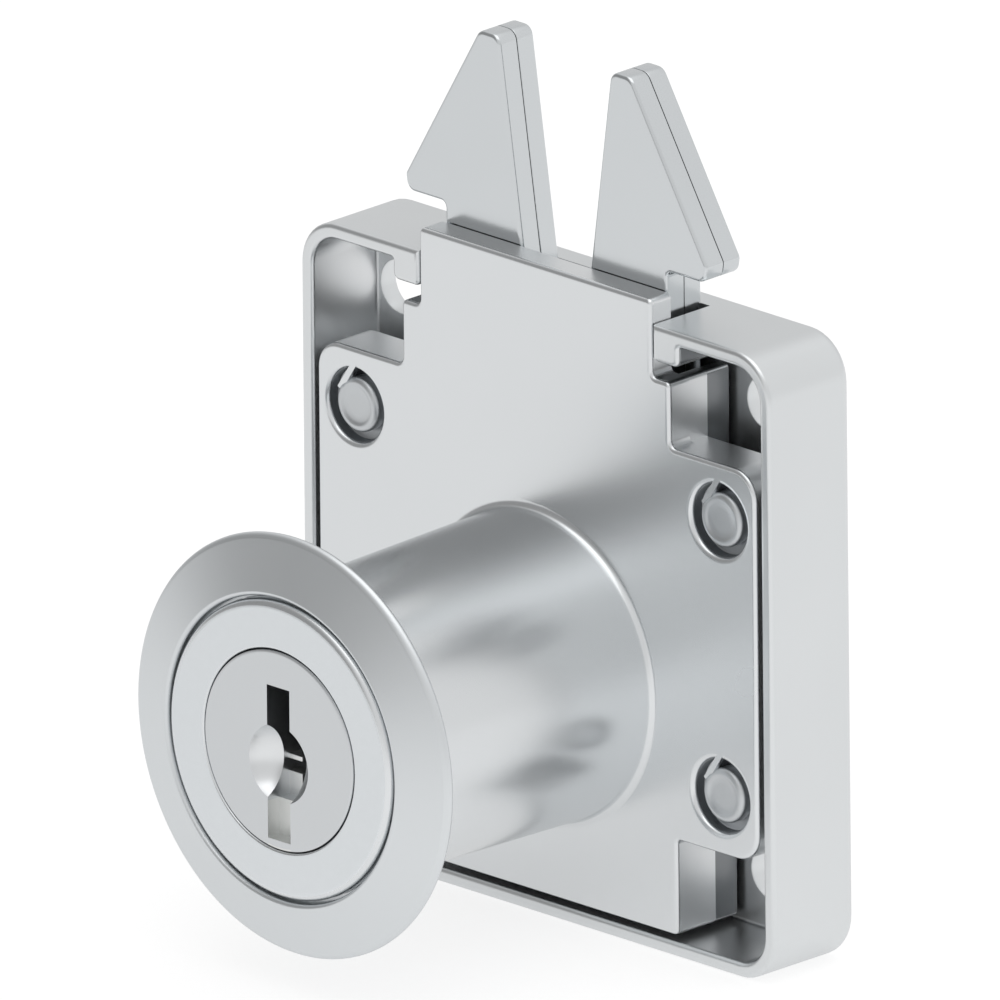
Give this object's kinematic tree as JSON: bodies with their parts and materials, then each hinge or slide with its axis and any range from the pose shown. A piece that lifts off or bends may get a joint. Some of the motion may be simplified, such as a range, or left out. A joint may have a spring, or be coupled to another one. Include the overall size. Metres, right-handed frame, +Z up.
{
  "type": "drawer lock",
  "caption": "Drawer lock with a shallow square case, a round key barrel with a rosette, and hooked claws above the case that close together when the key is turned.",
  "frame": {"origin": "point where the barrel's axis meets the plane of the case rim and front plate, which seats on the drawer front", "axes": "+X to the right seen from the front, +Y into the drawer, +Z up towards the claws; -Y is the way the barrel and its keyway face"},
  "size_m": [0.04, 0.0292, 0.0545],
  "materials": {
    "case_steel": "bright nickel plate on pressed steel, satin",
    "casting_plate": "nickel plate on zinc die casting, soft gloss",
    "rosette_plate": "nickel plate, bright",
    "plug_plate": "nickel plate, satin face",
    "claw_steel": "nickel plate on stamped steel, satin",
    "rivet_steel": "plated steel, satin",
    "pin_steel": "turned steel",
    "cam_steel": "zinc plated steel",
    "wafer_brass": "stamped brass",
    "spring_wire": "spring steel wire"
  },
  "bodies": {
    "lock_case": {"case": "case_steel", "front_casting": "casting_plate", "rosette": "rosette_plate", "case_rivets": "rivet_steel", "pivot_pins": "pin_steel", "spreader_spring": "spring_wire"},
    "plug": {"plug": "plug_plate", "wafer_1": "wafer_brass", "wafer_2": "wafer_brass", "wafer_3": "wafer_brass", "wafer_4": "wafer_brass", "wafer_5": "wafer_brass", "wafer_springs": "spring_wire", "cam": "cam_steel", "cam_screw": "cam_steel"},
    "claw_left": {"claw_left_front": "claw_steel", "claw_left_back": "claw_steel", "claw_left_rivets": "rivet_steel"},
    "claw_right": {"claw_right_front": "claw_steel", "claw_right_back": "claw_steel", "claw_right_rivets": "rivet_steel"}
  },
  "joints": [
    {"name": "plug_turn", "type": "hinge", "parent": "lock_case", "child": "plug", "pos_m": [0, 0, 0], "axis": [0, -1, 0], "range_deg": [0, 90]},
    {"name": "claw_right_swing", "type": "hinge", "parent": "lock_case", "child": "claw_right", "pos_m": [0.0072, 0, 0.006], "axis": [0, -1, 0], "range_deg": [0, 8.2], "deforming": ["spreader_spring"]},
    {"name": "claw_left_swing", "type": "hinge", "parent": "lock_case", "child": "claw_left", "pos_m": [-0.0072, 0, 0.006], "axis": [0, 1, 0], "range_deg": [0, 8.2]}
  ],
  "couplings": [
    {"joint": "claw_right_swing", "follows": "plug_turn", "ratio": 0.0911},
    {"joint": "claw_left_swing", "follows": "plug_turn", "ratio": 0.0911}
  ]
}
